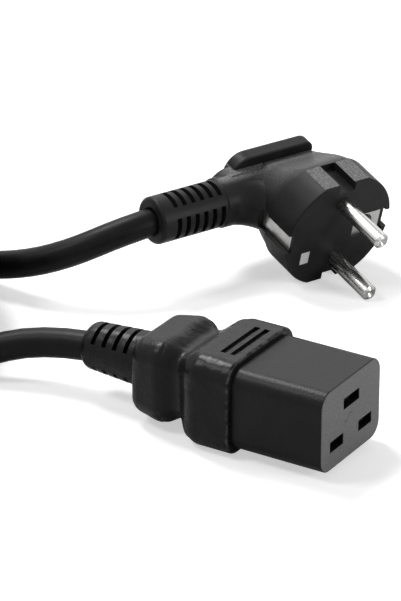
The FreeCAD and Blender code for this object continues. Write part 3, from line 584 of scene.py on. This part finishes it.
# The score on the mating face: its middle in metres, and its bend, width and ends in millimetres.
# Its darker tone is painted shade in its dent.
SCORE_Y = -1.5 * MM
SCORE_Z = 13.8 * MM
SCORE_SLOPE = 0.28
SCORE_BEND = 0.45
SCORE_TURN_PER_MM = 1.3
SCORE_WIDTH = (0.22, 0.09)
SCORE_ENDS = (2.5, 1.6)
SCORE_PAINTED_SHADE_TONE = 0.030
SCORE_STRENGTH = 0.75
SCORE_DEPTH = 2.0


def score_line(nodes, across, up):
    """A short bent score: 1 on the line, 0 away from it."""
    y = nodes.times(nodes.minus(across, SCORE_Y), 1.0 / MM)
    z = nodes.times(nodes.minus(up, SCORE_Z), 1.0 / MM)
    bend = nodes.times(nodes.math("SINE", nodes.times(y, SCORE_TURN_PER_MM)), SCORE_BEND)
    middle = nodes.plus(bend, nodes.times(y, SCORE_SLOPE))
    line = nodes.spread(nodes.absolute(nodes.minus(z, middle)), SCORE_WIDTH)
    return nodes.times(line, nodes.spread(nodes.absolute(y), SCORE_ENDS))


# The insert's matt face starts just behind the plane of the mating face. Pairs of numbers are for
# the sides and the face, apart from the tones, which are two for each. The face's tones are far paler
# than the sides' on the same plastic: painted light, as from the lamp at the right.
FACE_EDGE = (40.75, 40.95)
INSERT_SPECULAR = 0.15
INSERT_SIDE_TONES = (0.004, 0.007)
INSERT_FACE_PAINTED_LIGHT_TONES = (0.100, 0.155)
INSERT_ROUGHNESS = (0.36, 0.62)
INSERT_GRAIN_ON_SIDES = (2.6, 0.0)


def insert_plastic():
    """Hard insert: a matt face with a score, and smoother sides with a fine grain."""
    material, nodes, shader, place = start_material("hard_insert")
    shader.inputs["Specular IOR Level"].default_value = INSERT_SPECULAR
    flow = mottle(nodes, place, size_mm=11.0)
    face_grain = grain(nodes, place, size_mm=0.35)
    side_grain = grain(nodes, place, size_mm=0.7)
    ahead, across, up = nodes.split(place)
    on_face = nodes.zone(ahead, FACE_EDGE)
    score = nodes.times(score_line(nodes, across, up), on_face)

    side = nodes.tone(flow["Tone"], INSERT_SIDE_TONES)
    # the face is painted much paler than the sides of the same black plastic: painted light
    face = nodes.tone(face_grain["Speckle"], INSERT_FACE_PAINTED_LIGHT_TONES)
    # the score is darkened: painted shade in its dent
    scored = nodes.mix(nodes.times(score, SCORE_STRENGTH), face, grey(SCORE_PAINTED_SHADE_TONE))
    nodes.put(shader.inputs["Base Color"], nodes.mix(on_face, side, scored))
    nodes.put(shader.inputs["Roughness"], nodes.between(on_face, INSERT_ROUGHNESS))

    dented = nodes.minus(face_grain["Height"], nodes.times(score, SCORE_DEPTH))
    pebbled = nodes.times(side_grain["Height"], nodes.between(on_face, INSERT_GRAIN_ON_SIDES))
    bump(nodes, shader, nodes.plus(dented, pebbled), depth_mm=0.02)
    return material


# The strap that ties the coil: where it sits, and its sizes, which are the inputs of its tree.
TIE_ANGLE = math.radians(-105.0)
TIE_SIZES = {
    "Coil radius": COIL_RADIUS,
    "Section width": 2.0 * CORD_DIAMETER,
    "Section height": 3.0 * CORD_DIAMETER,
    "Cord radius": CORD_DIAMETER / 2.0,
    "Strap width": 10.0 * MM,
    "Thickness": 0.7 * MM,
    "Lap": 17.0 * MM,
    "Stitch radius": 0.5 * MM,
    "Stitch pitch": 1.5 * MM,
}

WEAVE_PITCH = 0.55 * MM
WEAVE_TONES = (0.016, 0.030)
WEAVE_HOLLOW_PAINTED_SHADE = 0.008
WEAVE_ROUGHNESS = (0.72, 0.88)
WEAVE_SPECULAR = 0.15
WEAVE_SHEEN = 0.15


def tie_frame():
    """The tie's own frame: x outward from the coil's centre, y up, z along the turns."""
    outward = Vector((math.cos(TIE_ANGLE), math.sin(TIE_ANGLE), 0.0))
    up = Vector((0.0, 0.0, 1.0))
    turned = Matrix((outward, up, outward.cross(up))).transposed()
    return Matrix.Translation(COIL_CENTRE) @ turned.to_4x4()


def woven_strap():
    """Close black webbing: ribs along and across the strap, with a soft nap."""
    material, nodes, shader, place = start_material("woven_strap")
    shader.inputs["Sheen Weight"].default_value = WEAVE_SHEEN
    shader.inputs["Specular IOR Level"].default_value = WEAVE_SPECULAR
    own = own_place(nodes, place, tie_frame())
    outward, up, along = nodes.split(own)
    from_middle = nodes.absolute(nodes.minus(outward, COIL_RADIUS))
    from_mid_height = nodes.absolute(nodes.minus(up, TIE_SIZES["Section height"] / 2.0))
    around = nodes.minus(from_middle, from_mid_height)
    ribs = math.pi / WEAVE_PITCH
    weave = nodes.times(nodes.ripple(nodes.times(around, ribs)), nodes.ripple(nodes.times(along, ribs)))
    flow = mottle(nodes, own, size_mm=3.0)
    thread = nodes.tone(flow["Tone"], WEAVE_TONES)
    # the hollows between the ribs are darker: painted shade
    nodes.put(shader.inputs["Base Color"], nodes.mix(weave, grey(WEAVE_HOLLOW_PAINTED_SHADE), thread))
    nodes.put(shader.inputs["Roughness"], nodes.between(flow["Gloss"], WEAVE_ROUGHNESS))
    bump(nodes, shader, weave, depth_mm=0.12)
    return material


# The parting edge of the collar, just behind its front.
GRIP_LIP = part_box("connector_grip")[1][0] - 0.4 * MM

MATERIALS = {
    "shell": insert_plastic(),
    "grip": soft_pvc("soft_grip", tones=(0.004, 0.008), roughness=0.29, grain_mm=0.5,
                     grain_depth=0.012, specular=0.14, wave_depth=0.30, lip=GRIP_LIP),
    "plug": plug_pvc(),
    "cord_sheath": soft_pvc("cord_sheath", tones=(0.005, 0.009), roughness=0.38, grain_mm=0.6,
                            grain_depth=0.015),
    "tie": woven_strap(),
    "contact_metal": plain_metal("tinned_brass", (0.62, 0.54, 0.34)),
    "pin_metal": pin_metal(),
    "earth_metal": plain_metal("earth_plate_nickel", (0.50, 0.495, 0.485)),
    "bridge_plastic": soft_pvc("pale_bridge", tones=(0.50, 0.58), roughness=0.5, grain_mm=0.4,
                               grain_depth=0.01),
    "core_brown": core_pvc("brown_core", (0.10, 0.045, 0.020)),
    "core_blue": core_pvc("blue_core", (0.030, 0.110, 0.300)),
    "core_green_yellow": core_pvc("earth_core", (0.060, 0.240, 0.050), (0.620, 0.520, 0.040)),
}

NODE_SLOT = {
    "connector_nose": "shell",
    "connector_grip": "grip",
    "plug_body": "plug",
    "line_contact": "contact_metal",
    "neutral_contact": "contact_metal",
    "earth_contact": "contact_metal",
    "line_pin": "pin_metal",
    "neutral_pin": "pin_metal",
    "earth_strip": "earth_metal",
    "earth_sleeve": "earth_metal",
    "pin_bridge": "bridge_plastic",
    "connector_line_core": "core_brown",
    "connector_neutral_core": "core_blue",
    "connector_earth_core": "core_green_yellow",
    "plug_line_core": "core_brown",
    "plug_neutral_core": "core_blue",
    "plug_earth_core": "core_green_yellow",
    "cord_at_connector": "cord_sheath",
    "cord_at_plug": "cord_sheath",
    "cord_coil": "cord_sheath",
}

for name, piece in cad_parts.items():
    piece.data.materials.clear()
    piece.data.materials.append(MATERIALS[NODE_SLOT[name]])


# ------------------------------------------------------------------ the tie on the coil
# In thicknesses of the strap: the height of its middle above the floor where it runs under the
# turns, and the rounding of its edges.
STRAP_LIFT = 0.55
STRAP_ROUND = 0.42
CORNER_STEPS = 8
EDGE_STEPS = 3
# Stitches in a row, and how far each row is below the top of the lap.
STITCHES = 6
STITCH_ROWS = (2.0 * MM, 4.5 * MM)
STITCH_SHAPE = (0.7, 0.5, 1.2)


def tie_tree():
    """A strap round the coil's section with its lapped end and two rows of stitches.

    X is outward and Y is up from the floor. The section is centred on X = Coil radius.
    """
    tree = bpy.data.node_groups.new("wound_strap", "GeometryNodeTree")
    for label in TIE_SIZES:
        tree.interface.new_socket(label, in_out="INPUT", socket_type="NodeSocketFloat")
    tree.interface.new_socket("Strap", in_out="OUTPUT", socket_type="NodeSocketGeometry")
    nodes = Nodes(tree)
    given = tree.nodes.new("NodeGroupInput").outputs
    thick = given["Thickness"]
    half_thick = nodes.times(thick, 0.5)
    middle = nodes.times(given["Section height"], 0.5)

    # the loop that the strap follows, and the strap's own flat section with rounded edges
    loop_width = nodes.plus(given["Section width"], thick)
    loop = nodes.named("GeometryNodeCurvePrimitiveQuadrilateral",
                       {"Width": loop_width, "Height": given["Section height"]})
    corner = nodes.plus(given["Cord radius"], half_thick)
    loop = nodes.named("GeometryNodeFilletCurve", {"Curve": loop, "Count": CORNER_STEPS, "Radius": corner},
                       mode="POLY")
    centre = nodes.vector(given["Coil radius"], nodes.plus(middle, nodes.times(thick, STRAP_LIFT)), 0.0)
    loop = nodes.named("GeometryNodeTransform", {"Geometry": loop, "Translation": centre})
    section = nodes.named("GeometryNodeCurvePrimitiveQuadrilateral",
                          {"Width": thick, "Height": given["Strap width"]})
    edge = nodes.times(thick, STRAP_ROUND)
    section = nodes.named("GeometryNodeFilletCurve",
                          {"Curve": section, "Count": EDGE_STEPS, "Radius": edge}, mode="POLY")
    band = nodes.named("GeometryNodeCurveToMesh", {"Curve": loop, "Profile Curve": section})

    # the lapped end, on the outer side
    outer = nodes.plus(given["Coil radius"], nodes.plus(nodes.times(loop_width, 0.5), thick))
    lap_top = nodes.plus(middle, nodes.times(given["Lap"], 0.5))
    lap_foot = nodes.minus(lap_top, given["Lap"])
    lap_line = nodes.named("GeometryNodeCurvePrimitiveLine",
                           {"Start": nodes.vector(outer, lap_top, 0.0),
                            "End": nodes.vector(outer, lap_foot, 0.0)})
    lap = nodes.named("GeometryNodeCurveToMesh",
                      {"Curve": lap_line, "Profile Curve": section, "Fill Caps": True})

    # the stitches through it
    stitch = nodes.named("GeometryNodeMeshIcoSphere",
                         {"Radius": given["Stitch radius"], "Subdivisions": 2})
    stitch = nodes.named("GeometryNodeTransform", {"Geometry": stitch, "Scale": STITCH_SHAPE})
    first_along = nodes.times(given["Stitch pitch"], (1 - STITCHES) / 2.0)
    pitch = nodes.vector(0.0, 0.0, given["Stitch pitch"])
    rows = []
    for below in STITCH_ROWS:
        start = nodes.vector(nodes.plus(outer, half_thick), nodes.minus(lap_top, below), first_along)
        line = nodes.named("GeometryNodeMeshLine",
                           {"Count": STITCHES, "Start Location": start, "Offset": pitch})
        rows.append(nodes.named("GeometryNodeInstanceOnPoints", {"Points": line, "Instance": stitch}))

    joined = tree.nodes.new("GeometryNodeJoinGeometry")
    for part in (band, lap, *rows):
        tree.links.new(part, joined.inputs[0])
    plain = nodes.named("GeometryNodeRealizeInstances", {"Geometry": joined.outputs[0]})
    clothed = nodes.named("GeometryNodeSetMaterial", {"Geometry": plain, "Material": MATERIALS["tie"]})
    tree.links.new(clothed, tree.nodes.new("NodeGroupOutput").inputs[0])
    return tree


def make_tie():
    """The tie as a plain mesh, laid over the coil at its own angle."""
    seed = bpy.data.objects.new("coil_tie_seed", bpy.data.meshes.new("coil_tie_seed"))
    bpy.context.scene.collection.objects.link(seed)
    strap = seed.modifiers.new("strap", "NODES")
    strap.node_group = tie_tree()
    for socket in strap.node_group.interface.items_tree:
        if socket.in_out == "INPUT":
            strap[socket.identifier] = TIE_SIZES[socket.name]
    graph = bpy.context.evaluated_depsgraph_get()
    mesh = bpy.data.meshes.new_from_object(seed.evaluated_get(graph))
    bpy.data.objects.remove(seed)
    mesh.transform(tie_frame())
    tie = bpy.data.objects.new("coil_tie", mesh)
    bpy.context.scene.collection.objects.link(tie)
    return tie


tie = make_tie()
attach(tie, "root")

cord.data.materials.append(MATERIALS["cord_sheath"])
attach(cord, "root")
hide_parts("cord_at_connector", "cord_at_plug", "cord_coil")


# ------------------------------------------------------------------ studio
FLOOR_HALF = 3.0
FLOOR_DROP = 0.1 * MM
FLOOR_TONES = (0.80, 0.84)
FLOOR_ROUGHNESS = 0.9
FLOOR_GLOW_SEEN = 0.52
FLOOR_GLOW_MIRRORED = 0.05
WORLD_LIGHT = 0.14
WORLD_SEEN = 1.0
WHITE = grey(1.0)

# Each lamp: its place, the point that it is aimed at, its two sides in metres, and its power.
LAMPS = {
    "soft_back": ((-0.40, 0.75, 0.60), (-0.03, 0.05, 0.01), (0.75, 0.45), 1.2),
    "front_left": ((-0.45, -0.34, 0.80), (-0.02, 0.03, 0.01), (0.26, 0.26), 2.4),
    "right_side": ((0.90, 0.05, 0.30), (0.0, 0.02, 0.01), (0.30, 0.30), 3.6),
    "key": ((-0.47, 0.22, 0.80), (-0.02, 0.04, 0.01), (0.30, 0.30), 6.3),
}


def seen_by(nodes):
    """Two masks: rays from the camera, and rays that glossy or clear surfaces send on."""
    path = nodes.tree.nodes.new("ShaderNodeLightPath").outputs
    mirrored = nodes.math("MAXIMUM", path["Is Glossy Ray"], path["Is Transmission Ray"])
    return path["Is Camera Ray"], mirrored


def make_floor():
    """A pale matt floor, a little brighter where it is seen than where it lights the object."""
    mesh = bpy.data.meshes.new("floor")
    corners = [(x * FLOOR_HALF, y * FLOOR_HALF, 0.0) for x, y in ((-1, -1), (1, -1), (1, 1), (-1, 1))]
    mesh.from_pydata(corners, [], [(0, 1, 2, 3)])
    floor = bpy.data.objects.new("floor", mesh)
    bpy.context.scene.collection.objects.link(floor)
    floor.location.z = -FLOOR_DROP
    material, nodes, shader, place = start_material("pale_floor")
    nodes.put(shader.inputs["Base Color"], nodes.tone(nodes.noise(place, 3.0), FLOOR_TONES))
    shader.inputs["Roughness"].default_value = FLOOR_ROUGHNESS
    shader.inputs["Emission Color"].default_value = WHITE
    camera, mirrored = seen_by(nodes)
    glow = nodes.plus(nodes.times(camera, FLOOR_GLOW_SEEN), nodes.times(mirrored, FLOOR_GLOW_MIRRORED))
    nodes.put(shader.inputs["Emission Strength"], glow)
    mesh.materials.append(material)


def make_world():
    """A white surround that gives only a little light of its own."""
    world = bpy.data.worlds.new("studio")
    world.use_nodes = True
    bpy.context.scene.world = world
    tree = world.node_tree
    tree.nodes.clear()
    nodes = Nodes(tree)
    background = tree.nodes.new("ShaderNodeBackground")
    output = tree.nodes.new("ShaderNodeOutputWorld")
    tree.links.new(background.outputs["Background"], output.inputs["Surface"])
    background.inputs["Color"].default_value = WHITE
    seen = nodes.math("MAXIMUM", *seen_by(nodes))
    nodes.put(background.inputs["Strength"], nodes.between(seen, (WORLD_LIGHT, WORLD_SEEN)))


def add_lamp(name, place, target, sides, power):
    """A rectangular lamp that faces its target."""
    data = bpy.data.lights.new(name, "AREA")
    data.shape = "RECTANGLE"
    data.size, data.size_y = sides
    data.energy = power
    item = bpy.data.objects.new(name, data)
    item.location = place
    item.rotation_euler = (Vector(target) - Vector(place)).to_track_quat("-Z", "Y").to_euler()
    bpy.context.scene.collection.objects.link(item)


make_floor()
make_world()
for name, setting in LAMPS.items():
    add_lamp(name, *setting)

bpy.context.scene.view_settings.view_transform = "Standard"
